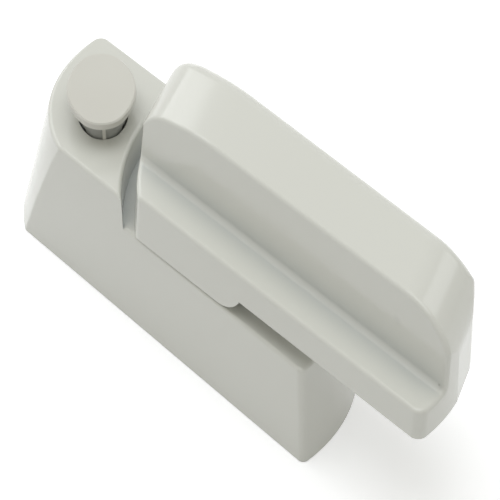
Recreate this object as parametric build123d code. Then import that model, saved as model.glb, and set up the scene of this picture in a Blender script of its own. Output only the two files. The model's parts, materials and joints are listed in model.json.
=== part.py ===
from build123d import *
import math
import os

# Sash jammer: a small lock for a window or door sash.
# A hollow die-cast base is screwed to the fixed frame. A die-cast arm turns on it about an upright
# pivot, from the parked position along the base to a quarter turn across the sash.
# Frame: Z out of the mounting face, X along the base, origin on that face midway between the two
# fixing holes. The pieces are drawn from the pivot axis and moved to the origin when they are written.
# The near side is -Y. All sizes are in millimetres and degrees.

# Base casting
base_half_width = 11.6          # at the mounting face
side_draft = 2.5                # lean of the long sides
deck_height = 17.0
block_height = 22.2
left_near_x = -37.6             # left end at the mounting face, near corner
left_far_x = -51.5
left_bulge = 3.5
left_top_near_x = -28.2         # left end at the top of the block
left_top_far_x = -44.5
left_top_bulge = 4.2
right_near_x = 26.8             # right end at the mounting face
right_far_x = 8.2
right_bulge = 5.0
right_draft = 1.5               # how far the right end leans in over the block's height
step_near_x = -12.2             # curved wall between deck and block
step_far_x = -27.6
step_bulge = 2.9
far_corner_radius = 1.5
near_corner_radius = 0.9
base_edge_radius = 0.6
base_wall = 2.4
deck_thickness = 3.4
rib_thickness = 1.6

# Fixing screws: both holes lie on one line along the base
fixing_line_y = -1.0
block_hole_x = -30.1
deck_hole_x = 18.4
fixing_hole_radius = 2.25
fixing_head_radius = 4.2
deck_head_depth = 4.5
boss_wall = 1.8

# Oval recess in the block, over its screw, and the cap that closes it
recess_long_radius = 5.85
recess_short_radius = 3.75
recess_angle = 144.0
recess_depth = 12.0
cap_travel = 3.9                # the cap stands this far out and presses home
cap_disc_thickness = 1.1
oval_end_share = 1.15           # end radius of an oval, as a share of its true ellipse's
cap_overhang_long = 2.4         # how far the disc reaches past the recess
cap_overhang_short = 1.35
cap_edge_chamfer = 0.2
cap_stem_below = 3.4            # stem left in the recess when the cap stands out
cap_stem_wall = 0.9
cap_rib_height = 0.3
cap_rib_width = 0.5
cap_rib_clearance = 0.05
cap_slit_width = 0.8

# Arm casting
arm_left_near_x = -8.7          # left end at the ledge's height, on the sharp corners
arm_left_far_x = -23.1
arm_left_bulge = 2.7
arm_left_lean = 8.0
arm_near_y_left = 11.1          # near side at the hub's underside, distance from the pivot line
arm_near_y_right = 10.2
arm_far_y_left = 10.6
arm_far_y_right = 9.9
arm_right_near_x = 47.9
arm_right_far_x = 36.4
arm_right_bulge = 2.9
arm_near_draft = 2.5
arm_far_draft = 7.5             # the far side leans in more than the near side
arm_height = 36.9
ledge_height = 25.4
wall_y_left = 5.15              # near face of the grip, at the ledge
wall_y_right = 4.65
wall_draft = 3.8
inner_corner_radius = 0.9
grip_left_x = -16.4             # left end of the side view at the ledge, on the grip's near face
grip_left_radius = 7.0
grip_fall_start = 3.2           # the top falls towards the left end from here
grip_fall = 12.4
grip_fall_radius = 30.0
grip_right_x = 48.3             # right end of the side view
grip_right_radius = 7.8
grip_skew = 31.0                # the side view runs across the arm at this angle
grip_far_radius = 2.5
arm_edge_radius = 0.6
wall_edge_zone = 1.0            # the grip's near edges lie within this of its near face
arm_near_corner_radius = 1.4    # upright corners of the arm
arm_far_left_radius = 2.4
arm_far_right_radius = 1.0
hub_end_x = 12.4
hub_end_rise_start = 7.5
arm_step = 3.1                  # the underside beyond the hub lies this much higher
pocket_wall = 2.5
pocket_corner_radius = 1.6
pocket_roof = 3.6

# Pivot
pin_radius = 3.0
pin_clearance = 0.05
pin_depth_in_hub = 9.0
pin_head_radius = 5.4
pin_head_height = 2.4
pin_hex_radius = 1.9
pin_hex_depth = 1.5
friction_washer_radius = 5.2
friction_washer_thickness = 1.0
friction_recess_depth = 0.7
steel_washer_radius = 6.2
steel_washer_thickness = 0.8
spring_thickness = 0.6
spring_height = 1.1
washer_bore_clearance = 0.25
seat_clearance = 0.02

# Stop: a peg under the hub runs in a quarter-turn groove of the deck
turn_angle = 90.0
stop_line_radius = 7.3
stop_peg_radius = 1.2
stop_peg_height = 1.4
stop_side_clearance = 0.25
stop_floor_clearance = 0.4
stop_start_angle = 135.0

# Sizes that follow from those above
draft_slope = math.tan(math.radians(side_draft))
top_half_width = base_half_width - block_height * draft_slope
deck_underside = deck_height - deck_thickness
hub_gap = friction_washer_thickness - friction_recess_depth + seat_clearance
hub_bottom = deck_height + hub_gap
arm_underside = hub_bottom + arm_step
head_top = deck_underside - steel_washer_thickness - spring_height - seat_clearance
recess_floor = block_height - recess_depth
outer_reach = 3 * base_half_width
waste_reach = 3 * outer_reach
cut_spare = 1.0                 # how far a cutting shape runs past what it cuts


def end_arc(near_point, far_point, bulge, side):
    """Arc from the near corner to the far corner of an end, bowed out to the given side."""
    near = Vector(*near_point)
    far = Vector(*far_point)
    chord = far - near
    outward = Vector(chord.Y, -chord.X).normalized() * side
    middle = (near + far) * 0.5 + outward * bulge
    return ThreePointArc(near, middle, far)


def end_circle(near_point, far_point, bulge, side, height):
    """Centre, at a height, and radius of the circle that a bowed end follows."""
    near = Vector(*near_point)
    far = Vector(*far_point)
    chord = far - near
    outward = Vector(chord.Y, -chord.X).normalized() * side
    radius = (chord.length ** 2 / 4 + bulge ** 2) / (2 * bulge)
    centre = (near + far) * 0.5 + outward * (bulge - radius)
    return Vector(centre.X, centre.Y, height), radius


def beyond_end(low_centre, low_radius, high_centre, high_radius, side):
    """Everything beyond a bowed end: outside a wide column that passes through both circles."""
    axis = high_centre - low_centre
    start = low_centre - axis
    upward = (Align.CENTER, Align.CENTER, Align.MIN)
    if math.isclose(low_radius, high_radius):
        column = Cylinder(low_radius, 3 * axis.length, align=upward)
    else:
        change = high_radius - low_radius
        column = Cone(low_radius - change, high_radius + change, 3 * axis.length, align=upward)
    column = Plane(origin=start, x_dir=(axis.Z, 0, -axis.X), z_dir=axis) * column
    outward = Align.MAX if side < 0 else Align.MIN
    block = Box(waste_reach, waste_reach, waste_reach, align=(outward, Align.CENTER, Align.CENTER))
    return Pos(low_centre.X, low_centre.Y, 0) * block - column


def beyond_side(left_point, right_point, height, draft, side):
    """Everything beyond a long side that leans in by its draft. Side is 1 for the near side, -1 for the far."""
    along = Vector(*right_point) - Vector(*left_point)
    outward = Vector(along.Y, -along.X).normalized() * side
    normal = (outward.X, outward.Y, math.tan(math.radians(draft)))
    plane = Plane(origin=(left_point[0], left_point[1], height), x_dir=along, z_dir=normal)
    return plane * Box(2 * waste_reach, waste_reach, waste_reach, align=(Align.CENTER, Align.CENTER, Align.MIN))


def base_form(inset):
    """Outer form of the base without its step, or the hollow inside it, drawn in by an inset."""
    upward = (Align.CENTER, Align.CENTER, Align.MIN)
    solid = Box(1.5 * waste_reach, 2 * outer_reach, block_height, align=upward)
    half_width = base_half_width - inset
    solid = solid - beyond_side((0, -half_width), (1, -half_width), 0, side_draft, 1)
    solid = solid - beyond_side((0, half_width), (1, half_width), 0, side_draft, -1)
    low_near = (left_near_x, -base_half_width)
    low_far = (left_far_x, base_half_width)
    high_near = (left_top_near_x, -top_half_width)
    high_far = (left_top_far_x, top_half_width)
    low_centre, low_radius = end_circle(low_near, low_far, left_bulge, -1, 0)
    high_centre, high_radius = end_circle(high_near, high_far, left_top_bulge, -1, block_height)
    solid = solid - beyond_end(low_centre, low_radius - inset, high_centre, high_radius - inset, -1)
    right_near = (right_near_x, -base_half_width)
    right_far = (right_far_x, base_half_width)
    centre, radius = end_circle(right_near, right_far, right_bulge, 1, 0)
    top_centre = centre + Vector(0, 0, block_height)
    return solid - beyond_end(centre, radius - inset, top_centre, radius - right_draft - inset, 1)


def beyond_step(shift):
    """Everything on the deck's side of the curved step wall, seen from above."""
    near = (step_near_x + shift, -base_half_width)
    far = (step_far_x + shift, base_half_width)
    wall = end_arc(near, far, step_bulge, -1)
    frame = Polyline(
        far,
        (far[0], outer_reach),
        (outer_reach, outer_reach),
        (outer_reach, -outer_reach),
        (near[0], -outer_reach),
        near,
    )
    return make_face([wall, frame])


def upright_edges(solid):
    """Edges that climb at least half of the solid's height."""
    box = solid.bounding_box()
    return [edge for edge in solid.edges() if edge.bounding_box().size.Z > 0.5 * box.size.Z]


def level_edges(solid, height):
    """Edges that lie flat at a height."""
    near_height = 0.01
    found = []
    for edge in solid.edges():
        box = edge.bounding_box()
        if abs(box.min.Z - height) < near_height and abs(box.max.Z - height) < near_height:
            found.append(edge)
    return found


def make_base():
    """Hollow casting with deck, block, screw bosses, recesses and stop groove."""
    solid = base_form(0)
    corners = upright_edges(solid)
    far_corners = [edge for edge in corners if edge.center().Y > 0]
    solid = fillet(far_corners, far_corner_radius)
    near_corners = [edge for edge in upright_edges(solid) if edge.center().Y < -0.8 * top_half_width]
    solid = fillet(near_corners, near_corner_radius)
    over_deck = extrude(Pos(0, 0, deck_height) * beyond_step(0), block_height)
    solid = solid - over_deck
    solid = fillet(level_edges(solid, block_height), base_edge_radius)
    deck_edges = [edge for edge in level_edges(solid, deck_height) if edge.center().X > step_near_x]
    solid = fillet(deck_edges, base_edge_radius)
    outer = solid

    hollow = base_form(base_wall)
    roof = Pos(0, 0, block_height) * Box(4 * outer_reach, 4 * outer_reach, 2 * deck_thickness)
    over_hollow = extrude(Pos(0, 0, deck_underside) * beyond_step(-base_wall), block_height)
    hollow = hollow - roof - over_hollow
    solid = solid - hollow

    block_boss = extrude(oval(recess_long_radius + boss_wall, recess_short_radius + boss_wall), block_height)
    block_boss = Pos(block_hole_x, fixing_line_y, 0) * block_boss
    deck_boss = Cylinder(fixing_head_radius + boss_wall, deck_height, align=(Align.CENTER, Align.CENTER, Align.MIN))
    deck_boss = Pos(deck_hole_x, fixing_line_y, 0) * deck_boss
    rib = Box(rib_thickness, 2 * outer_reach, deck_height, align=(Align.CENTER, Align.CENTER, Align.MIN))
    block_rib = Pos(block_hole_x, 0, 0) * rib
    deck_rib = Pos(deck_hole_x, 0, 0) * rib
    inner = (block_boss + deck_boss + block_rib + deck_rib) & outer
    solid = solid + inner

    recess = extrude(oval(recess_long_radius, recess_short_radius), recess_depth + 1)
    solid = solid - Pos(block_hole_x, fixing_line_y, recess_floor) * recess
    head_seat = Cylinder(fixing_head_radius, 2 * deck_head_depth)
    solid = solid - Pos(deck_hole_x, fixing_line_y, deck_height) * head_seat
    fixing_hole = Cylinder(fixing_hole_radius, 4 * block_height)
    solid = solid - Pos(block_hole_x, fixing_line_y, 0) * fixing_hole
    solid = solid - Pos(deck_hole_x, fixing_line_y, 0) * fixing_hole

    pin_hole = Cylinder(pin_radius + pin_clearance, 4 * block_height)
    washer_seat = Cylinder(friction_washer_radius + pin_clearance, 2 * friction_recess_depth)
    solid = solid - pin_hole - Pos(0, 0, deck_height) * washer_seat
    stop_line = CenterArc((0, 0), stop_line_radius, stop_start_angle - turn_angle, turn_angle)
    groove = SlotArc(stop_line, 2 * (stop_peg_radius + stop_side_clearance))
    groove_depth = stop_peg_height - hub_gap + stop_floor_clearance
    solid = solid - extrude(Pos(0, 0, deck_height) * groove, -groove_depth)
    return solid


def oval(long_radius, short_radius):
    """Oval of four arcs across the block, its long axis turned with the block's skew."""
    end_radius = oval_end_share * short_radius ** 2 / long_radius
    end_reach = long_radius - end_radius
    side_radius = (end_reach ** 2 + short_radius ** 2 - end_radius ** 2) / (2 * (short_radius - end_radius))
    share = end_radius / (side_radius - end_radius)
    join_x = end_reach * (1 + share)
    join_y = (side_radius - short_radius) * share
    right = ThreePointArc((join_x, -join_y), (long_radius, 0), (join_x, join_y))
    top = ThreePointArc((join_x, join_y), (0, short_radius), (-join_x, join_y))
    left = ThreePointArc((-join_x, join_y), (-long_radius, 0), (-join_x, -join_y))
    bottom = ThreePointArc((-join_x, -join_y), (0, -short_radius), (join_x, -join_y))
    return Rot(0, 0, recess_angle) * make_face([right, top, left, bottom])


def grip_profile():
    """Side view of the whole arm, looking along the skew, with the grip's two upper ends rounded."""
    share = math.cos(math.radians(grip_skew))
    lean = math.tan(math.radians(arm_left_lean)) * share
    fall = math.tan(math.radians(grip_fall)) / share
    left_x = (grip_left_x + grip_fall_start) * share
    right_x = (grip_right_x + grip_fall_start) * share
    foot_z = hub_bottom - arm_step
    corner_run = (arm_height - ledge_height + left_x * fall) / (1 / lean - fall)
    left_foot = (left_x - (ledge_height - foot_z) * lean, foot_z)
    left_top = (left_x + corner_run, ledge_height + corner_run / lean)
    fall_top = (0, arm_height)
    right_top = (right_x, arm_height)
    face = make_face(Polyline(left_foot, left_top, fall_top, right_top, (right_x, foot_z), close=True))
    roundings = {left_top: grip_left_radius, fall_top: grip_fall_radius, right_top: grip_right_radius}
    for point, radius in roundings.items():
        corner = face.vertices().sort_by_distance((point[0], point[1], 0))[0]
        face = fillet(corner, radius)
    turn = math.radians(grip_skew)
    side_plane = Plane(
        origin=(-grip_fall_start, -wall_y_left, 0),
        x_dir=(math.cos(turn), math.sin(turn), 0),
        z_dir=(math.sin(turn), -math.cos(turn), 0),
    )
    return side_plane * face


def make_arm():
    """Lever with hub, low ledge, tall grip, pin hole and stop peg."""
    near_left = (arm_left_near_x, -arm_near_y_left)
    near_right = (arm_right_near_x, -arm_near_y_right)
    far_left = (arm_left_far_x, arm_far_y_left)
    far_right = (arm_right_far_x, arm_far_y_right)
    rise = arm_height + cut_spare - hub_bottom
    upward = (Align.CENTER, Align.CENTER, Align.MIN)
    solid = Pos(0, 0, hub_bottom) * Box(waste_reach, 2 * outer_reach, rise, align=upward)
    solid = solid - beyond_side(near_left, near_right, hub_bottom, arm_near_draft, 1)
    solid = solid - beyond_side(far_left, far_right, hub_bottom, arm_far_draft, -1)
    left_centre, left_radius = end_circle(near_left, far_left, arm_left_bulge, -1, ledge_height)
    lean_step = Vector(rise * math.tan(math.radians(arm_left_lean)), 0, rise)
    solid = solid - beyond_end(left_centre, left_radius, left_centre + lean_step, left_radius, -1)
    right_centre, right_radius = end_circle(near_right, far_right, arm_right_bulge, 1, ledge_height)
    solid = solid - beyond_end(right_centre, right_radius, right_centre + Vector(0, 0, rise), right_radius, 1)
    corners = upright_edges(solid)
    solid = fillet([edge for edge in corners if edge.center().Y < 0], arm_near_corner_radius)
    corners = [edge for edge in upright_edges(solid) if edge.center().Y > arm_far_y_right / 3]
    solid = fillet([edge for edge in corners if edge.center().X < 0], arm_far_left_radius)
    corners = [edge for edge in upright_edges(solid) if edge.center().Y > arm_far_y_right / 3]
    solid = fillet([edge for edge in corners if edge.center().X > 0], arm_far_right_radius)
    solid = solid & extrude(grip_profile(), amount=waste_reach, both=True)

    # Generous rounding along the grip's far side and round its left end
    side_foot = ledge_height + (arm_height - ledge_height) / 3
    far_end = arm_right_far_x - arm_edge_radius
    far_start = arm_far_y_right / 2 - arm_edge_radius
    far_edges = []
    for edge in solid.edges():
        middle = edge.center()
        if middle.Z > side_foot and middle.X < far_end and edge.bounding_box().min.Y > far_start:
            far_edges.append(edge)
    solid = fillet(far_edges, grip_far_radius)

    wall_lean = (arm_height + 2 - ledge_height) * math.tan(math.radians(wall_draft))
    wall_turn = math.degrees(math.atan((wall_y_left - wall_y_right) / (grip_right_x - grip_left_x)))
    above_ledge = Polyline(
        (0, ledge_height),
        (wall_lean, arm_height + 2),
        (-outer_reach, arm_height + 2),
        (-outer_reach, ledge_height),
        close=True,
    )
    above_face = make_face(above_ledge)
    inner_corner = above_face.vertices().sort_by_distance((0, ledge_height, 0))[0]
    above_face = fillet(inner_corner, inner_corner_radius)
    end_plane = Plane(origin=(grip_left_x, -wall_y_left, 0), x_dir=(0, 1, 0), z_dir=(1, 0, 0))
    cutter = extrude(end_plane * above_face, amount=4 * outer_reach, both=True)
    cutter = cutter.rotate(Axis((grip_left_x, -wall_y_left, 0), (0, 0, 1)), wall_turn)
    solid = solid - cutter

    # Underside beyond the hub, with the hub's rounded end
    hub_side = Plane(origin=(0, 0, 0), x_dir=(1, 0, 0), z_dir=(0, -1, 0))
    rise_start = (hub_end_rise_start, hub_bottom)
    rise_end = (hub_end_x, arm_underside)
    rise_middle = ((rise_start[0] + 2 * rise_end[0]) / 3, hub_bottom + arm_step / 3)
    hub_end = ThreePointArc(rise_start, rise_middle, rise_end)
    below = Polyline(
        rise_end,
        (grip_right_x + outer_reach, arm_underside),
        (grip_right_x + outer_reach, hub_bottom - arm_step),
        (hub_end_rise_start, hub_bottom - arm_step),
        rise_start,
    )
    under = extrude(hub_side * make_face([hub_end, below]), amount=2 * outer_reach, both=True)
    solid = solid - under
    return solid


def round_arm(solid):
    """Small rounding on the grip's near edges."""
    wall_foot = ledge_height + 2 * inner_corner_radius
    near_zone = -wall_y_right + wall_edge_zone
    wall_edges = []
    for edge in solid.edges():
        if edge.center().Z > wall_foot and edge.bounding_box().max.Y < near_zone:
            wall_edges.append(edge)
    return fillet(wall_edges, arm_edge_radius)


def finish_arm(solid):
    """Pocket, pin hole and stop peg of the arm."""
    pocket_left = hub_end_x + pocket_wall
    pocket_right = arm_right_far_x - pocket_wall
    pocket_near = -wall_y_right + pocket_wall
    pocket_far_side = arm_far_y_right - (arm_height - hub_bottom) * math.tan(math.radians(arm_far_draft))
    pocket_far = pocket_far_side - pocket_wall
    pocket_top = arm_height - pocket_roof
    pocket = Box(pocket_right - pocket_left, pocket_far - pocket_near, 2 * (pocket_top - arm_underside))
    pocket = fillet(pocket.edges().filter_by(Axis.Z), pocket_corner_radius)
    middle = ((pocket_left + pocket_right) / 2, (pocket_near + pocket_far) / 2, arm_underside)
    solid = solid - Pos(*middle) * pocket
    solid = solid - Pos(0, 0, hub_bottom) * Cylinder(pin_radius, 2 * pin_depth_in_hub)
    peg = Cylinder(stop_peg_radius, stop_peg_height, align=(Align.CENTER, Align.CENTER, Align.MAX))
    peg_x = stop_line_radius * math.cos(math.radians(stop_start_angle))
    peg_y = stop_line_radius * math.sin(math.radians(stop_start_angle))
    return solid + Pos(peg_x, peg_y, hub_bottom) * peg


def make_cap():
    """Oval cap: a thin disc on a slit, hollow stem with four holding ribs."""
    stem_long = recess_long_radius - cap_rib_height - cap_rib_clearance
    stem_short = recess_short_radius - cap_rib_height - cap_rib_clearance
    stem_length = cap_travel + cap_stem_below
    stem = extrude(oval(stem_long, stem_short), -stem_length)
    bore = extrude(oval(stem_long - cap_stem_wall, stem_short - cap_stem_wall), -stem_length)
    long_rib = Box(2 * (stem_long + cap_rib_height), cap_rib_width, stem_length)
    cross_rib = Box(cap_rib_width, 2 * (stem_short + cap_rib_height), stem_length)
    ribs = Rot(0, 0, recess_angle) * Pos(0, 0, -stem_length / 2) * (long_rib + cross_rib)
    slit = Box(4 * stem_long, cap_slit_width, 2 * cap_stem_below)
    slits = Pos(0, 0, -stem_length) * (Rot(0, 0, recess_angle + 45) * slit + Rot(0, 0, recess_angle - 45) * slit)
    body = (stem + ribs) - bore - slits
    disc_outline = oval(recess_long_radius + cap_overhang_long, recess_short_radius + cap_overhang_short)
    disc = extrude(disc_outline, cap_disc_thickness)
    disc = chamfer(disc.edges().group_by(Axis.Z)[-1], cap_edge_chamfer)
    return Pos(block_hole_x, fixing_line_y, block_height + cap_travel) * (disc + body)


def make_pivot_screw():
    """Shoulder screw from below: head under the deck, shank through it, end fixed in the hub."""
    shank_top = hub_bottom + pin_depth_in_hub
    low = (Align.CENTER, Align.CENTER, Align.MIN)
    head_bottom = head_top - pin_head_height
    shank = Pos(0, 0, head_top) * Cylinder(pin_radius, shank_top - head_top, align=low)
    head = Pos(0, 0, head_bottom) * Cylinder(pin_head_radius, pin_head_height, align=low)
    socket = extrude(Pos(0, 0, head_bottom) * RegularPolygon(pin_hex_radius, 6), pin_hex_depth)
    return shank + head - socket


def ring(outer_radius, thickness, bottom):
    """Flat washer round the pivot."""
    low = (Align.CENTER, Align.CENTER, Align.MIN)
    disc = Cylinder(outer_radius, thickness, align=low)
    bore = Cylinder(pin_radius + washer_bore_clearance, 4 * thickness)
    return Pos(0, 0, bottom) * (disc - bore)


def make_disc_spring():
    """Shallow cone between the screw's head and the steel washer."""
    inner = pin_radius + washer_bore_clearance
    outer = pin_head_radius
    bottom = deck_underside - steel_washer_thickness - spring_height
    top = bottom + spring_height
    section = Polyline(
        (inner, bottom),
        (outer, top - spring_thickness),
        (outer, top),
        (inner, bottom + spring_thickness),
        close=True,
    )
    return revolve(Plane.XZ * make_face(section), Axis.Z)


os.makedirs("parts", exist_ok=True)
nodes = {
    "base_body": make_base(),
    "swing_arm": finish_arm(round_arm(make_arm())),
    "screw_cap": make_cap(),
    "pivot_screw": make_pivot_screw(),
    "friction_washer": ring(
        friction_washer_radius, friction_washer_thickness, deck_height - friction_recess_depth
    ),
    "steel_washer": ring(
        steel_washer_radius, steel_washer_thickness, deck_underside - steel_washer_thickness
    ),
    "disc_spring": make_disc_spring(),
}
to_origin = Pos(-(block_hole_x + deck_hole_x) / 2, -fixing_line_y, 0)
for name, solid in nodes.items():
    export_step(to_origin * solid, os.path.join("parts", name + ".step"))
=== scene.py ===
"""Looks of a sash jammer: painted die-cast base and arm, screw cap, and the pivot's screw and washers."""

import json
import logging
import math
from dataclasses import dataclass
from enum import Enum
from typing import Any, Dict, List, Tuple

import bpy
from mathutils import Matrix, Vector

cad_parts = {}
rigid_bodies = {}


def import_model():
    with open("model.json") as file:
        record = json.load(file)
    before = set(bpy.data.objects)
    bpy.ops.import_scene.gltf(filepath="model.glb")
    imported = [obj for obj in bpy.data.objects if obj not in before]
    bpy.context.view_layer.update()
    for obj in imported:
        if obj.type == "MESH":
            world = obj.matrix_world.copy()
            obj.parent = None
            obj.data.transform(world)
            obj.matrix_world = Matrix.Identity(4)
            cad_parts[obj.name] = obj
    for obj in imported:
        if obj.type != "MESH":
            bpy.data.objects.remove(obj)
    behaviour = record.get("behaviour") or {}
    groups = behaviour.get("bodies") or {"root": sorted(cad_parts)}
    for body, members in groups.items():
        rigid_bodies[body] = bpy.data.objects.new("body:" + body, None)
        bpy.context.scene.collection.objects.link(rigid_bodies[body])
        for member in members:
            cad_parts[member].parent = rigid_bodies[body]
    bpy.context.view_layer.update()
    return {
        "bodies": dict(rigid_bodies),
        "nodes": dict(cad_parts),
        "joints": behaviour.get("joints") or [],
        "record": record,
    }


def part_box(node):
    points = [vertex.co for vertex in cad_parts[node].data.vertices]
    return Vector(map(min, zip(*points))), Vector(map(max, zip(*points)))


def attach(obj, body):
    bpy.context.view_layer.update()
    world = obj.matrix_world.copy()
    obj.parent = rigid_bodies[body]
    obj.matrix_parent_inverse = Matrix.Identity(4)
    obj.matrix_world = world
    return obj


Colour = Tuple[float, float, float]
Point = Tuple[float, float, float]

WHITE: Colour = (1.0, 1.0, 1.0)
ORIGIN: Point = (0.0, 0.0, 0.0)

# Detail of each noise. Any detail in the patches of tone would show as drawn lines on the castings.
PATCH_DETAIL = 0.0
WAVE_DETAIL = 1.0
GRAIN_DETAIL = 2.0

# Values of the noise between which one tone fades into the other.
PATCH_FADE = (0.2, 0.8)

# Share of open air over a point where the painted corner shade is nil, and where it is strongest.
OPEN_AIR, CLOSED_CORNER = 1.0, 0.35
CORNER_SAMPLES = 8

log = logging.getLogger("sash_jammer")


class Slot(Enum):
    """Name of a material slot of the record."""

    CASTING = "painted_casting"


class Socket(Enum):
    """Kinds of socket on a node group."""

    NUMBER = "NodeSocketFloat"
    PLACE = "NodeSocketVector"
    SHAPE = "NodeSocketGeometry"
    FINISH = "NodeSocketMaterial"


def opaque(colour: Colour) -> Tuple[float, float, float, float]:
    """Colour with full alpha."""
    return (colour[0], colour[1], colour[2], 1.0)


def shader_group(name: str, inputs: Tuple[str, ...], outputs: Tuple[str, ...]) -> bpy.types.NodeTree:
    """Makes an empty shader node group, whose inputs and outputs are all numbers.

    Args:
        name: the group's name.
        inputs: names of its inputs.
        outputs: names of its outputs.

    Returns:
        The group, with its input and output nodes named "in" and "out".
    """
    tree = bpy.data.node_groups.new(name, "ShaderNodeTree")
    for label in inputs:
        tree.interface.new_socket(name=label, in_out="INPUT", socket_type=Socket.NUMBER.value)
    for label in outputs:
        tree.interface.new_socket(name=label, in_out="OUTPUT", socket_type=Socket.NUMBER.value)
    tree.nodes.new("NodeGroupInput").name = "in"
    tree.nodes.new("NodeGroupOutput").name = "out"
    return tree


def maths(tree: bpy.types.NodeTree, operation: str) -> bpy.types.Node:
    """Adds a Math node.

    Args:
        tree: the node tree to build in.
        operation: what the node works out.

    Returns:
        The node.
    """
    node = tree.nodes.new("ShaderNodeMath")
    node.operation = operation
    return node


def vector_maths(tree: bpy.types.NodeTree, operation: str) -> bpy.types.Node:
    """Adds a Vector Math node.

    Args:
        tree: the node tree to build in.
        operation: what the node works out.

    Returns:
        The node.
    """
    node = tree.nodes.new("ShaderNodeVectorMath")
    node.operation = operation
    return node


def soft_range(tree: bpy.types.NodeTree) -> bpy.types.Node:
    """Adds a Map Range node that eases in and out.

    Args:
        tree: the node tree to build in.

    Returns:
        The node.
    """
    node = tree.nodes.new("ShaderNodeMapRange")
    node.interpolation_type = "SMOOTHSTEP"
    return node


def orange_peel_group() -> bpy.types.NodeTree:
    """Height of a sprayed coat or a moulded skin: low waves with a finer grain on them.

    Returns:
        The shader group, with the output Height.
    """
    tree = shader_group("orange_peel", ("Wave", "Grain", "Grain share"), ("Height",))
    nodes, links = tree.nodes, tree.links
    place = nodes.new("ShaderNodeTexCoord")
    wave = nodes.new("ShaderNodeTexNoise")
    wave.inputs["Detail"].default_value = WAVE_DETAIL
    grain = nodes.new("ShaderNodeTexNoise")
    grain.inputs["Detail"].default_value = GRAIN_DETAIL
    mix = nodes.new("ShaderNodeMix")
    mix.data_type = "FLOAT"
    links.new(place.outputs["Object"], wave.inputs["Vector"])
    links.new(place.outputs["Object"], grain.inputs["Vector"])
    links.new(nodes["in"].outputs["Wave"], wave.inputs["Scale"])
    links.new(nodes["in"].outputs["Grain"], grain.inputs["Scale"])
    links.new(nodes["in"].outputs["Grain share"], mix.inputs["Factor"])
    links.new(wave.outputs["Fac"], mix.inputs["A"])
    links.new(grain.outputs["Fac"], mix.inputs["B"])
    links.new(mix.outputs["Result"], nodes["out"].inputs["Height"])
    return tree


def cloudy_tone_group() -> bpy.types.NodeTree:
    """Large soft patches, for the slight changes of tone and gloss over a surface.

    Returns:
        The shader group, with the outputs Mask and Roughness.
    """
    tree = shader_group("cloudy_tone", ("Scale", "Smooth", "Rough"), ("Mask", "Roughness"))
    nodes, links = tree.nodes, tree.links
    place = nodes.new("ShaderNodeTexCoord")
    cloud = nodes.new("ShaderNodeTexNoise")
    cloud.inputs["Detail"].default_value = PATCH_DETAIL
    spread = soft_range(tree)
    spread.inputs["From Min"].default_value = PATCH_FADE[0]
    spread.inputs["From Max"].default_value = PATCH_FADE[1]
    gloss = nodes.new("ShaderNodeMapRange")
    links.new(place.outputs["Object"], cloud.inputs["Vector"])
    links.new(nodes["in"].outputs["Scale"], cloud.inputs["Scale"])
    links.new(cloud.outputs["Fac"], spread.inputs["Value"])
    links.new(spread.outputs["Result"], nodes["out"].inputs["Mask"])
    links.new(spread.outputs["Result"], gloss.inputs["Value"])
    links.new(nodes["in"].outputs["Smooth"], gloss.inputs["To Min"])
    links.new(nodes["in"].outputs["Rough"], gloss.inputs["To Max"])
    links.new(gloss.outputs["Result"], nodes["out"].inputs["Roughness"])
    return tree


def painted_corner_shade_group() -> bpy.types.NodeTree:
    """Mask of painted shade in inside corners, found by ambient occlusion.

    Returns:
        The shader group, with the output Mask.
    """
    tree = shader_group("painted_corner_shade", ("Reach", "Strength"), ("Mask",))
    nodes, links = tree.nodes, tree.links
    cover = nodes.new("ShaderNodeAmbientOcclusion")
    cover.samples = CORNER_SAMPLES
    cover.only_local = True
    spread = soft_range(tree)
    spread.inputs["From Min"].default_value = OPEN_AIR
    spread.inputs["From Max"].default_value = CLOSED_CORNER
    scale = maths(tree, "MULTIPLY")
    links.new(nodes["in"].outputs["Reach"], cover.inputs["Distance"])
    links.new(cover.outputs["AO"], spread.inputs["Value"])
    links.new(spread.outputs["Result"], scale.inputs[0])
    links.new(nodes["in"].outputs["Strength"], scale.inputs[1])
    links.new(scale.outputs["Value"], nodes["out"].inputs["Mask"])
    return tree


def spot_group() -> bpy.types.NodeTree:
    """Mask of a soft round spot about a point.

    Returns:
        The shader group, with the output Mask.
    """
    tree = shader_group("spot", ("X", "Y", "Z", "Radius", "Strength"), ("Mask",))
    nodes, links = tree.nodes, tree.links
    place = nodes.new("ShaderNodeTexCoord")
    centre = nodes.new("ShaderNodeCombineXYZ")
    away = vector_maths(tree, "DISTANCE")
    spread = soft_range(tree)
    spread.inputs["To Max"].default_value = 0.0
    for axis in "XYZ":
        links.new(nodes["in"].outputs[axis], centre.inputs[axis])
    links.new(place.outputs["Object"], away.inputs[0])
    links.new(centre.outputs["Vector"], away.inputs[1])
    links.new(away.outputs["Value"], spread.inputs["Value"])
    links.new(nodes["in"].outputs["Radius"], spread.inputs["From Max"])
    links.new(nodes["in"].outputs["Strength"], spread.inputs["To Min"])
    links.new(spread.outputs["Result"], nodes["out"].inputs["Mask"])
    return tree


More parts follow.
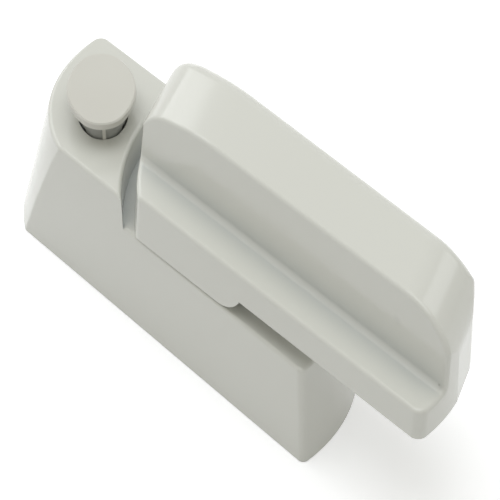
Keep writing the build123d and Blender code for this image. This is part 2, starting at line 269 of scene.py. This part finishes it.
def turned_rings_group() -> bpy.types.NodeTree:
    """Height of the fine rings that a lathe leaves round an upright axis.

    Returns:
        The shader group, with the output Height.
    """
    tree = shader_group("turned_rings", ("Centre X", "Centre Y", "Pitch"), ("Height",))
    nodes, links = tree.nodes, tree.links
    place = nodes.new("ShaderNodeTexCoord")
    centre = nodes.new("ShaderNodeCombineXYZ")
    shift = vector_maths(tree, "SUBTRACT")
    flat = vector_maths(tree, "MULTIPLY")
    flat.inputs[1].default_value = (1.0, 1.0, 0.0)
    radius = vector_maths(tree, "LENGTH")
    angle = maths(tree, "MULTIPLY")
    ring = maths(tree, "SINE")
    links.new(nodes["in"].outputs["Centre X"], centre.inputs["X"])
    links.new(nodes["in"].outputs["Centre Y"], centre.inputs["Y"])
    links.new(place.outputs["Object"], shift.inputs[0])
    links.new(centre.outputs["Vector"], shift.inputs[1])
    links.new(shift.outputs["Vector"], flat.inputs[0])
    links.new(flat.outputs["Vector"], radius.inputs[0])
    links.new(radius.outputs["Value"], angle.inputs[0])
    links.new(nodes["in"].outputs["Pitch"], angle.inputs[1])
    links.new(angle.outputs["Value"], ring.inputs[0])
    links.new(ring.outputs["Value"], nodes["out"].inputs["Height"])
    return tree


def painted_stem_shade_group() -> bpy.types.NodeTree:
    """Mask of painted shade on a stem's walls below a disc, which leaves out four ribs so that they show
    lighter, as lit ribs would.

    Returns:
        The shader group, with the output Mask.
    """
    inputs = ("Centre X", "Centre Y", "Underside", "Turn", "Rib", "Strength")
    tree = shader_group("painted_stem_shade", inputs, ("Mask",))
    nodes, links = tree.nodes, tree.links
    place = nodes.new("ShaderNodeTexCoord")
    centre = nodes.new("ShaderNodeCombineXYZ")
    shift = vector_maths(tree, "SUBTRACT")
    turn = nodes.new("ShaderNodeVectorRotate")
    turn.rotation_type = "Z_AXIS"
    size = vector_maths(tree, "ABSOLUTE")
    apart = nodes.new("ShaderNodeSeparateXYZ")
    nearest = maths(tree, "MINIMUM")
    off_rib = maths(tree, "GREATER_THAN")
    height = nodes.new("ShaderNodeSeparateXYZ")
    below = maths(tree, "LESS_THAN")
    both = maths(tree, "MULTIPLY")
    strength = maths(tree, "MULTIPLY")
    links.new(nodes["in"].outputs["Centre X"], centre.inputs["X"])
    links.new(nodes["in"].outputs["Centre Y"], centre.inputs["Y"])
    links.new(place.outputs["Object"], shift.inputs[0])
    links.new(centre.outputs["Vector"], shift.inputs[1])
    links.new(shift.outputs["Vector"], turn.inputs["Vector"])
    links.new(nodes["in"].outputs["Turn"], turn.inputs["Angle"])
    links.new(turn.outputs["Vector"], size.inputs[0])
    links.new(size.outputs["Vector"], apart.inputs["Vector"])
    links.new(apart.outputs["X"], nearest.inputs[0])
    links.new(apart.outputs["Y"], nearest.inputs[1])
    links.new(nearest.outputs["Value"], off_rib.inputs[0])
    links.new(nodes["in"].outputs["Rib"], off_rib.inputs[1])
    links.new(place.outputs["Object"], height.inputs["Vector"])
    links.new(height.outputs["Z"], below.inputs[0])
    links.new(nodes["in"].outputs["Underside"], below.inputs[1])
    links.new(off_rib.outputs["Value"], both.inputs[0])
    links.new(below.outputs["Value"], both.inputs[1])
    links.new(both.outputs["Value"], strength.inputs[0])
    links.new(nodes["in"].outputs["Strength"], strength.inputs[1])
    links.new(strength.outputs["Value"], nodes["out"].inputs["Mask"])
    return tree


class Effects:
    """Shader groups that the finishes share, each built once."""

    def __init__(self) -> None:
        """Builds the groups."""
        self.peel = orange_peel_group()
        self.tone = cloudy_tone_group()
        self.rings = turned_rings_group()
        self.corner_shade = painted_corner_shade_group()
        self.spot = spot_group()
        self.stem = painted_stem_shade_group()

    @staticmethod
    def place(
        material: bpy.types.Material,
        tree: bpy.types.NodeTree,
        values: Dict[str, float],
    ) -> bpy.types.Node:
        """Puts a group into a material.

        Args:
            material: the material that gets the group.
            tree: the group.
            values: values for its inputs.

        Returns:
            The group's node.
        """
        node = material.node_tree.nodes.new("ShaderNodeGroup")
        node.node_tree = tree
        for label, value in values.items():
            node.inputs[label].default_value = value
        return node


def new_material(name: str) -> bpy.types.Material:
    """Makes a material with a Principled BSDF.

    Args:
        name: the material's name.

    Returns:
        The material.
    """
    material = bpy.data.materials.new(name)
    material.use_nodes = True
    return material


def shader_of(material: bpy.types.Material) -> bpy.types.Node:
    """The Principled BSDF of a material."""
    return material.node_tree.nodes["Principled BSDF"]


def blend(
    material: bpy.types.Material,
    under: bpy.types.NodeSocket,
    over: Colour,
    mask: bpy.types.NodeSocket,
) -> bpy.types.NodeSocket:
    """Lays a plain colour over another by a mask.

    Args:
        material: the material to build in.
        under: the colour below.
        over: the colour on top.
        mask: how much of the top colour shows.

    Returns:
        The socket of the blended colour.
    """
    mix = material.node_tree.nodes.new("ShaderNodeMix")
    mix.data_type = "RGBA"
    mix.inputs["B"].default_value = opaque(over)
    material.node_tree.links.new(under, mix.inputs["A"])
    material.node_tree.links.new(mask, mix.inputs["Factor"])
    return mix.outputs["Result"]


def add_relief(
    material: bpy.types.Material,
    height: bpy.types.NodeSocket,
    depth: float,
) -> bpy.types.Node:
    """Presses a pattern into a material's surface.

    Args:
        material: the material.
        height: the pattern, from 0 to 1.
        depth: how deep it goes, in metres.

    Returns:
        The Bump node, whose own normal can still be set.
    """
    nodes, links = material.node_tree.nodes, material.node_tree.links
    bump = nodes.new("ShaderNodeBump")
    bump.inputs["Distance"].default_value = depth
    links.new(height, bump.inputs["Height"])
    links.new(bump.outputs["Normal"], shader_of(material).inputs["Normal"])
    return bump


@dataclass(frozen=True)
class CloudyTone:
    """Two near colours in soft patches, whose gloss differs a little too."""

    light: Colour
    shade: Colour
    smooth: float
    rough: float
    scale: float

    def build(self, material: bpy.types.Material, effects: Effects) -> bpy.types.NodeSocket:
        """Gives a material its gloss and makes its colour.

        Args:
            material: the material.
            effects: the shared shader groups.

        Returns:
            The socket of the colour, which isn't joined to the shader yet.
        """
        nodes, links = material.node_tree.nodes, material.node_tree.links
        values = {"Scale": self.scale, "Smooth": self.smooth, "Rough": self.rough}
        patches = effects.place(material, effects.tone, values)
        mix = nodes.new("ShaderNodeMix")
        mix.data_type = "RGBA"
        mix.inputs["A"].default_value = opaque(self.light)
        mix.inputs["B"].default_value = opaque(self.shade)
        links.new(patches.outputs["Mask"], mix.inputs["Factor"])
        links.new(patches.outputs["Roughness"], shader_of(material).inputs["Roughness"])
        return mix.outputs["Result"]


@dataclass(frozen=True)
class Mark:
    """Small round mark in the paint."""

    at: Point
    radius: float
    strength: float


@dataclass(frozen=True)
class PaintedCasting:
    """White satin powder coat on a zinc casting, with painted shade in inside corners and a few small
    marks.
    """

    tone: CloudyTone = CloudyTone(
        light=(0.700, 0.703, 0.664),
        shade=(0.690, 0.692, 0.650),
        smooth=0.14,
        rough=0.19,
        scale=38.0,
    )
    # Painted shade: a darker, cooler colour laid into inside corners, with its strength and reach.
    corner_shade_colour: Colour = (0.47, 0.515, 0.54)
    corner_shade_share: float = 0.57
    corner_shade_reach: float = 0.006
    mark: Colour = (0.40, 0.40, 0.38)
    marks: Tuple[Mark, ...] = ()
    peel_wave: float = 480.0
    peel_grain: float = 2400.0
    peel_grain_share: float = 0.2
    peel_height: float = 0.000004
    edge_softness: float = 0.00015

    def build(self, effects: Effects) -> bpy.types.Material:
        """Makes the material.

        Args:
            effects: the shared shader groups.

        Returns:
            The finished material.
        """
        material = new_material("painted_casting_finish")
        nodes, links = material.node_tree.nodes, material.node_tree.links
        paint = self.tone.build(material, effects)
        # Painted shade in inside corners, from ambient occlusion.
        reach = {"Reach": self.corner_shade_reach, "Strength": self.corner_shade_share}
        corner_shade = effects.place(material, effects.corner_shade, reach)
        paint = blend(material, paint, self.corner_shade_colour, corner_shade.outputs["Mask"])
        for mark in self.marks:
            values = dict(zip("XYZ", mark.at), Radius=mark.radius, Strength=mark.strength)
            spot = effects.place(material, effects.spot, values)
            paint = blend(material, paint, self.mark, spot.outputs["Mask"])
        links.new(paint, shader_of(material).inputs["Base Color"])
        values = {
            "Wave": self.peel_wave,
            "Grain": self.peel_grain,
            "Grain share": self.peel_grain_share,
        }
        peel = effects.place(material, effects.peel, values)
        bump = add_relief(material, peel.outputs["Height"], self.peel_height)
        soft_edge = nodes.new("ShaderNodeBevel")
        soft_edge.inputs["Radius"].default_value = self.edge_softness
        links.new(soft_edge.outputs["Normal"], bump.inputs["Normal"])
        return material


@dataclass(frozen=True)
class MouldedPlastic:
    """Moulded plastic with a fine matt grain."""

    name: str
    tone: CloudyTone
    grain_wave: float = 900.0
    grain_fine: float = 5200.0
    grain_share: float = 0.6
    grain_height: float = 0.000006

    def build(self, effects: Effects) -> bpy.types.Material:
        """Makes the material.

        Args:
            effects: the shared shader groups.

        Returns:
            The finished material.
        """
        material = new_material(self.name)
        colour = self.tone.build(material, effects)
        material.node_tree.links.new(colour, shader_of(material).inputs["Base Color"])
        values = {"Wave": self.grain_wave, "Grain": self.grain_fine, "Grain share": self.grain_share}
        grain = effects.place(material, effects.peel, values)
        add_relief(material, grain.outputs["Height"], self.grain_height)
        return material


@dataclass(frozen=True)
class TurnedSteel:
    """Steel with fine rings round the pivot."""

    name: str
    tone: CloudyTone
    ring_pitch: float = 30000.0
    ring_height: float = 0.000004

    def build(self, effects: Effects, centre: Tuple[float, float]) -> bpy.types.Material:
        """Makes the material.

        Args:
            effects: the shared shader groups.
            centre: the pivot's place, seen from above.

        Returns:
            The finished material.
        """
        material = new_material(self.name)
        colour = self.tone.build(material, effects)
        material.node_tree.links.new(colour, shader_of(material).inputs["Base Color"])
        shader_of(material).inputs["Metallic"].default_value = 1.0
        values = {"Centre X": centre[0], "Centre Y": centre[1], "Pitch": self.ring_pitch}
        rings = effects.place(material, effects.rings, values)
        add_relief(material, rings.outputs["Height"], self.ring_height)
        return material


def dress(node: bpy.types.Object, material: bpy.types.Material) -> None:
    """Gives every material slot of a CAD node one finish.

    Args:
        node: the CAD node's object.
        material: the finish.
    """
    if not node.material_slots:
        node.data.materials.append(material)
    for slot in node.material_slots:
        slot.material = material


@dataclass(frozen=True)
class PinMarks:
    """Witness marks of the mould's four ejector pins, on the roof of the base's hollow."""

    name: str = "base_pin_marks"
    columns: int = 2
    rows: int = 2
    sides: int = 48
    radius: float = 0.00125
    proud: float = 0.00015
    sunk: float = 0.0001
    spacing: Tuple[float, float] = (0.006, 0.013)
    middle: Tuple[float, float] = (-0.008, 0.001)

    def make_tree(self) -> bpy.types.NodeTree:
        """Makes the Geometry Nodes tree: a flat disc at each point of a small grid.

        Returns:
            The tree, with named inputs for the marks' size, spacing, place and material.
        """
        tree = bpy.data.node_groups.new("pin_marks", "GeometryNodeTree")
        tree.interface.new_socket(name="Geometry", in_out="OUTPUT", socket_type=Socket.SHAPE.value)
        for label in ("Radius", "Thickness", "Spacing X", "Spacing Y"):
            tree.interface.new_socket(name=label, in_out="INPUT", socket_type=Socket.NUMBER.value)
        tree.interface.new_socket(name="Centre", in_out="INPUT", socket_type=Socket.PLACE.value)
        tree.interface.new_socket(name="Paint", in_out="INPUT", socket_type=Socket.FINISH.value)
        nodes, links = tree.nodes, tree.links
        given = nodes.new("NodeGroupInput")
        result = nodes.new("NodeGroupOutput")
        grid = nodes.new("GeometryNodeMeshGrid")
        grid.inputs["Vertices X"].default_value = self.columns
        grid.inputs["Vertices Y"].default_value = self.rows
        disc = nodes.new("GeometryNodeMeshCylinder")
        disc.inputs["Vertices"].default_value = self.sides
        spread = nodes.new("GeometryNodeInstanceOnPoints")
        shift = nodes.new("GeometryNodeTransform")
        real = nodes.new("GeometryNodeRealizeInstances")
        paint = nodes.new("GeometryNodeSetMaterial")
        links.new(given.outputs["Spacing X"], grid.inputs["Size X"])
        links.new(given.outputs["Spacing Y"], grid.inputs["Size Y"])
        links.new(given.outputs["Radius"], disc.inputs["Radius"])
        links.new(given.outputs["Thickness"], disc.inputs["Depth"])
        links.new(grid.outputs["Mesh"], spread.inputs["Points"])
        links.new(disc.outputs["Mesh"], spread.inputs["Instance"])
        links.new(spread.outputs["Instances"], shift.inputs["Geometry"])
        links.new(given.outputs["Centre"], shift.inputs["Translation"])
        links.new(shift.outputs["Geometry"], real.inputs["Geometry"])
        links.new(real.outputs["Geometry"], paint.inputs["Geometry"])
        links.new(given.outputs["Paint"], paint.inputs["Material"])
        links.new(paint.outputs["Geometry"], result.inputs["Geometry"])
        return tree

    def build(self, roof_height: float, paint: bpy.types.Material) -> None:
        """Makes the marks as one plain mesh that rides on the base.

        Args:
            roof_height: height of the hollow's roof over the mounting face.
            paint: the casting's material.
        """
        tree = self.make_tree()
        values = {
            "Radius": self.radius,
            "Thickness": self.proud + self.sunk,
            "Spacing X": self.spacing[0],
            "Spacing Y": self.spacing[1],
            "Centre": (self.middle[0], self.middle[1], roof_height + (self.sunk - self.proud) / 2),
            "Paint": paint,
        }
        holder = bpy.data.objects.new("pin_marks_holder", bpy.data.meshes.new("pin_marks_holder"))
        bpy.context.scene.collection.objects.link(holder)
        modifier = holder.modifiers.new("marks", "NODES")
        modifier.node_group = tree
        for socket in tree.interface.items_tree:
            if socket.in_out == "INPUT":
                modifier[socket.identifier] = values[socket.name]
        evaluated = holder.evaluated_get(bpy.context.evaluated_depsgraph_get())
        mesh = bpy.data.meshes.new_from_object(evaluated)
        mesh.name = self.name
        bpy.data.objects.remove(holder)
        piece = bpy.data.objects.new(self.name, mesh)
        bpy.context.scene.collection.objects.link(piece)
        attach(piece, "base")
        log.info("made %s", self.name)


@dataclass
class Castings:
    """The two painted castings, base and arm, in one finish."""

    nodes: Tuple[str, ...] = ("base_body", "swing_arm")
    finish: PaintedCasting = PaintedCasting(
        marks=(
            Mark((0.0432, -0.0035, 0.0314), 0.0011, 0.16),
            Mark((0.05175, -0.00366, 0.02604), 0.0003, 0.75),
            Mark((0.0521, -0.0037, 0.0259), 0.0006, 0.25),
        )
    )
    pin_marks: PinMarks = PinMarks()

    def build(self, frame: Dict[str, Any], effects: Effects) -> None:
        """Dresses the castings and makes the marks inside the base.

        Args:
            frame: the loaded frame.
            effects: the shared shader groups.
        """
        material = self.finish.build(effects)
        for name in self.nodes:
            dress(frame["nodes"][name], material)
            log.info("dressed %s", name)
        roof_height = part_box("steel_washer")[1][2]
        self.pin_marks.build(roof_height, material)


@dataclass
class ScrewCap:
    """The plastic cap over the fixing screw: a plain disc on a stem with ribs, whose shade under the disc
    is painted into the stem's colour.
    """

    node: str = "screw_cap"
    disc_thickness: float = 0.0011
    underside_margin: float = 0.00005
    stem_turn: float = 144.0
    rib_half_width: float = 0.00025
    painted_stem_shade_colour: Colour = (0.30, 0.31, 0.30)
    stem_shade_share: float = 0.75
    finish: MouldedPlastic = MouldedPlastic(
        "cap_finish",
        CloudyTone((0.640, 0.632, 0.590), (0.615, 0.604, 0.560), smooth=0.38, rough=0.48, scale=90.0),
    )

    def build(self, frame: Dict[str, Any], effects: Effects) -> None:
        """Dresses the cap.

        Args:
            frame: the loaded frame.
            effects: the shared shader groups.
        """
        low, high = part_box(self.node)
        material = self.finish.build(effects)
        values = {
            "Centre X": (low[0] + high[0]) / 2,
            "Centre Y": (low[1] + high[1]) / 2,
            "Underside": high[2] - self.disc_thickness - self.underside_margin,
            "Turn": -math.radians(self.stem_turn),
            "Rib": self.rib_half_width,
            "Strength": self.stem_shade_share,
        }
        # Painted shade on the stem under the disc; the ribs keep the plain colour and show lighter.
        stem = effects.place(material, effects.stem, values)
        colour = shader_of(material).inputs["Base Color"]
        plain = colour.links[0].from_socket
        shaded = blend(material, plain, self.painted_stem_shade_colour, stem.outputs["Mask"])
        material.node_tree.links.new(shaded, colour)
        dress(frame["nodes"][self.node], material)
        log.info("dressed %s", self.node)


@dataclass
class PivotHardware:
    """Screw, washers and disc spring of the pivot."""

    steel_nodes: Tuple[str, ...] = ("pivot_screw", "steel_washer")
    steel: TurnedSteel = TurnedSteel(
        "zinc_plate_finish",
        CloudyTone((0.62, 0.64, 0.67), (0.52, 0.53, 0.55), smooth=0.22, rough=0.34, scale=160.0),
    )
    spring: TurnedSteel = TurnedSteel(
        "spring_finish",
        CloudyTone((0.20, 0.19, 0.18), (0.13, 0.12, 0.11), smooth=0.30, rough=0.45, scale=160.0),
    )
    washer: MouldedPlastic = MouldedPlastic(
        "washer_finish",
        CloudyTone((0.012, 0.012, 0.012), (0.020, 0.020, 0.021), smooth=0.38, rough=0.48, scale=90.0),
    )

    def build(self, frame: Dict[str, Any], effects: Effects) -> None:
        """Dresses the hidden pieces of the pivot.

        Args:
            frame: the loaded frame.
            effects: the shared shader groups.
        """
        low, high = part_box("pivot_screw")
        centre = ((low[0] + high[0]) / 2, (low[1] + high[1]) / 2)
        steel = self.steel.build(effects, centre)
        for name in self.steel_nodes:
            dress(frame["nodes"][name], steel)
        dress(frame["nodes"]["disc_spring"], self.spring.build(effects, centre))
        dress(frame["nodes"]["friction_washer"], self.washer.build(effects))
        log.info("dressed the pivot's screw, washers and spring")


@dataclass(frozen=True)
class Lamp:
    """Rectangular soft light, with its power in watts."""

    name: str
    at: Point
    towards: Point
    size: Tuple[float, float]
    power: float
    colour: Colour = (0.96, 0.985, 1.0)

    def build(self) -> None:
        """Hangs the light and turns it towards its point."""
        data = bpy.data.lights.new(self.name, "AREA")
        data.shape = "RECTANGLE"
        data.size, data.size_y = self.size
        data.energy = self.power
        data.color = self.colour
        lamp = bpy.data.objects.new(self.name, data)
        bpy.context.scene.collection.objects.link(lamp)
        lamp.location = self.at
        direction = Vector(self.towards) - Vector(self.at)
        lamp.rotation_euler = direction.to_track_quat("-Z", "Y").to_euler()


@dataclass
class Studio:
    """Pale floor, white surroundings and soft lights. The arm's right end reflects the window light."""

    floor_size: float = 6.0
    floor_drop: float = 0.00005
    floor_colour: Colour = (0.885, 0.89, 0.92)
    floor_glow: float = 0.38
    room_colour: Colour = (1.0, 0.985, 0.89)
    room_strength: float = 0.47
    lamps: Tuple[Lamp, ...] = (
        Lamp("overhead_light", (-0.05, 0.0, 0.85), ORIGIN, (0.70, 0.70), 2.8),
        Lamp("left_light", (-0.75, 0.05, 0.50), ORIGIN, (0.60, 0.60), 1.7),
        Lamp("window_light", (0.06, 0.70, 0.46), (0.045, 0.0, 0.036), (0.24, 0.34), 0.35),
    )

    def white_for_camera(self, tree: bpy.types.NodeTree) -> bpy.types.NodeSocket:
        """Picks the rays that should see a white background.

        Args:
            tree: the node tree to build in.

        Returns:
            A socket that is 1 on camera, glossy and transmission rays, and 0 on others.
        """
        path = tree.nodes.new("ShaderNodeLightPath")
        first = maths(tree, "MAXIMUM")
        second = maths(tree, "MAXIMUM")
        tree.links.new(path.outputs["Is Camera Ray"], first.inputs[0])
        tree.links.new(path.outputs["Is Glossy Ray"], first.inputs[1])
        tree.links.new(first.outputs["Value"], second.inputs[0])
        tree.links.new(path.outputs["Is Transmission Ray"], second.inputs[1])
        return second.outputs["Value"]

    def build_room(self) -> None:
        """Makes the world: white where it is seen, softer where it only lights."""
        world = bpy.data.worlds.new("studio_room")
        bpy.context.scene.world = world
        world.use_nodes = True
        tree = world.node_tree
        seen = self.white_for_camera(tree)
        level = tree.nodes.new("ShaderNodeMapRange")
        level.inputs["To Min"].default_value = self.room_strength
        tint = tree.nodes.new("ShaderNodeMix")
        tint.data_type = "RGBA"
        tint.inputs["A"].default_value = opaque(self.room_colour)
        tint.inputs["B"].default_value = opaque(WHITE)
        background = tree.nodes["Background"]
        tree.links.new(seen, tint.inputs["Factor"])
        tree.links.new(tint.outputs["Result"], background.inputs["Color"])
        tree.links.new(seen, level.inputs["Value"])
        tree.links.new(level.outputs["Result"], background.inputs["Strength"])

    def build_floor(self) -> None:
        """Makes the floor, just under the mounting face."""
        half = self.floor_size / 2
        mesh = bpy.data.meshes.new("studio_floor")
        corners = [(-half, -half, 0.0), (half, -half, 0.0), (half, half, 0.0), (-half, half, 0.0)]
        mesh.from_pydata(corners, [], [(0, 1, 2, 3)])
        floor = bpy.data.objects.new("studio_floor", mesh)
        bpy.context.scene.collection.objects.link(floor)
        floor.location.z = -self.floor_drop
        material = new_material("studio_floor_paint")
        shader = shader_of(material)
        shader.inputs["Base Color"].default_value = opaque(self.floor_colour)
        shader.inputs["Roughness"].default_value = 1.0
        shader.inputs["Specular IOR Level"].default_value = 0.0
        shader.inputs["Emission Color"].default_value = opaque(WHITE)
        tree = material.node_tree
        glow = maths(tree, "MULTIPLY")
        glow.inputs[1].default_value = self.floor_glow
        tree.links.new(self.white_for_camera(tree), glow.inputs[0])
        tree.links.new(glow.outputs["Value"], shader.inputs["Emission Strength"])
        mesh.materials.append(material)

    def build(self) -> None:
        """Builds the whole studio."""
        self.build_room()
        self.build_floor()
        for lamp in self.lamps:
            lamp.build()
        log.info("built the studio")


@dataclass
class PhotoCamera:
    """Camera at the photograph's place, with its angles in degrees and its lengths in metres."""

    azimuth: float = 50.468
    elevation: float = 43.0
    roll: float = 1.287
    distance: float = 0.39968
    target: Point = (-0.00569, 0.01233, 0.0)
    focal_pixels: float = 2625.8
    frame_pixels: float = 500.0
    sensor_millimetres: float = 36.0
    nearest: float = 0.01
    farthest: float = 20.0

    def build(self) -> None:
        """Makes the camera and sets it as the scene's camera."""
        angles = (self.azimuth, self.elevation, self.roll)
        turn, tilt, roll = (math.radians(angle) for angle in angles)
        level_right = Vector((math.cos(turn), math.sin(turn), 0.0))
        level_forward = Vector((-math.sin(turn), math.cos(turn), 0.0))
        forward = level_forward * math.cos(tilt) - Vector((0.0, 0.0, math.sin(tilt)))
        level_up = level_right.cross(forward)
        right = level_right * math.cos(roll) - level_up * math.sin(roll)
        up = level_right * math.sin(roll) + level_up * math.cos(roll)
        data = bpy.data.cameras.new("photo_camera")
        data.sensor_width = self.sensor_millimetres
        data.lens = self.focal_pixels * self.sensor_millimetres / self.frame_pixels
        data.clip_start = self.nearest
        data.clip_end = self.farthest
        camera = bpy.data.objects.new("photo_camera", data)
        bpy.context.scene.collection.objects.link(camera)
        place = Vector(self.target) - forward * self.distance
        turned = Matrix((right, up, -forward)).transposed()
        camera.matrix_world = Matrix.Translation(place) @ turned.to_4x4()
        bpy.context.scene.camera = camera
        log.info("placed the camera")


def main() -> None:
    """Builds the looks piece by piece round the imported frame."""
    logging.basicConfig(level=logging.INFO, format="%(name)s: %(message)s")
    bpy.context.scene.view_settings.view_transform = "Standard"
    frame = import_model()
    effects = Effects()
    PhotoCamera().build()
    Castings().build(frame, effects)
    ScrewCap().build(frame, effects)
    PivotHardware().build(frame, effects)
    Studio().build()


if __name__ == "__main__":
    main()
